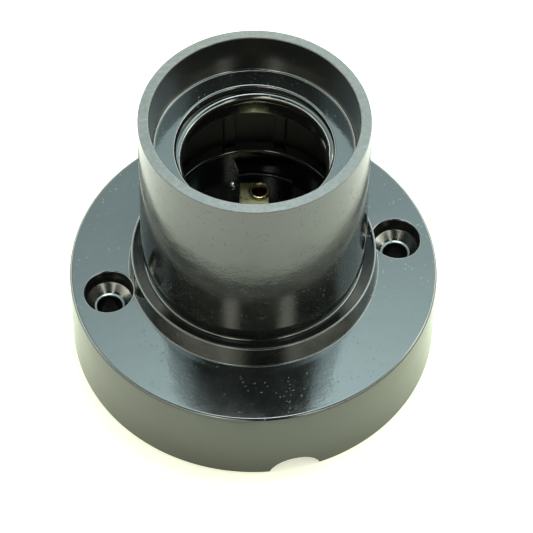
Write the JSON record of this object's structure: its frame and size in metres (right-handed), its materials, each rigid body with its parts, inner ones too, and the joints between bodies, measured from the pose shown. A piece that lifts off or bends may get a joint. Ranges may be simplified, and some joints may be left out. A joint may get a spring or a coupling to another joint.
{
  "type": "surface lamp holder",
  "caption": "Round surface-mounted screw lamp holder with a moulded base, a screw-on shell and sprung brass contacts.",
  "frame": {"origin": "centre of the base's underside, on the plane that meets the wall or ceiling", "axes": "+Z out of the lamp opening, +X through the two fixing holes, the cable notch at -Y"},
  "size_m": [0.0662, 0.0662, 0.0591],
  "materials": {
    "moulding": "glossy black thermoset moulding with fine pits",
    "contact_brass": "rolled strip, slightly dulled",
    "rivet_brass": "bright rolled edge",
    "terminal_brass": "stamped plate, dull",
    "plated_steel": "zinc plated"
  },
  "bodies": {
    "base": {"base": "moulding", "centre_rivet": "rivet_brass", "side_rivet": "rivet_brass", "line_pin": "plated_steel", "neutral_pin": "plated_steel", "line_terminal": "terminal_brass", "neutral_terminal": "terminal_brass", "line_clamp": "plated_steel", "neutral_clamp": "plated_steel"},
    "shell": {"shell": "moulding"},
    "centre_contact": {"centre_contact": "contact_brass"},
    "side_contact": {"side_contact": "contact_brass"},
    "line_screw": {"line_screw": "plated_steel"},
    "neutral_screw": {"neutral_screw": "plated_steel"}
  },
  "joints": [
    {"name": "shell_unscrew", "type": "slide", "parent": "base", "child": "shell", "axis": [0, 0, 1], "range_m": [0, 0.02]},
    {"name": "centre_contact_press", "type": "hinge", "parent": "base", "child": "centre_contact", "pos_m": [0.0023, 0.00953, 0.02585], "axis": [0.972, -0.2351, 0], "range_deg": [0, 5.5], "stiffness_Nm_per_rad": 0.35},
    {"name": "side_contact_spread", "type": "hinge", "parent": "base", "child": "side_contact", "pos_m": [-0.0023, -0.00953, 0.02585], "axis": [0.972, -0.2351, 0], "range_deg": [0, 4.5], "stiffness_Nm_per_rad": 0.35},
    {"name": "line_screw_turn", "type": "hinge", "parent": "base", "child": "line_screw", "pos_m": [-0.00496, 0.00758, 0.018], "axis": [0, 0, 1], "continuous": true},
    {"name": "neutral_screw_turn", "type": "hinge", "parent": "base", "child": "neutral_screw", "pos_m": [0.00496, -0.00758, 0.018], "axis": [0, 0, 1], "continuous": true}
  ]
}
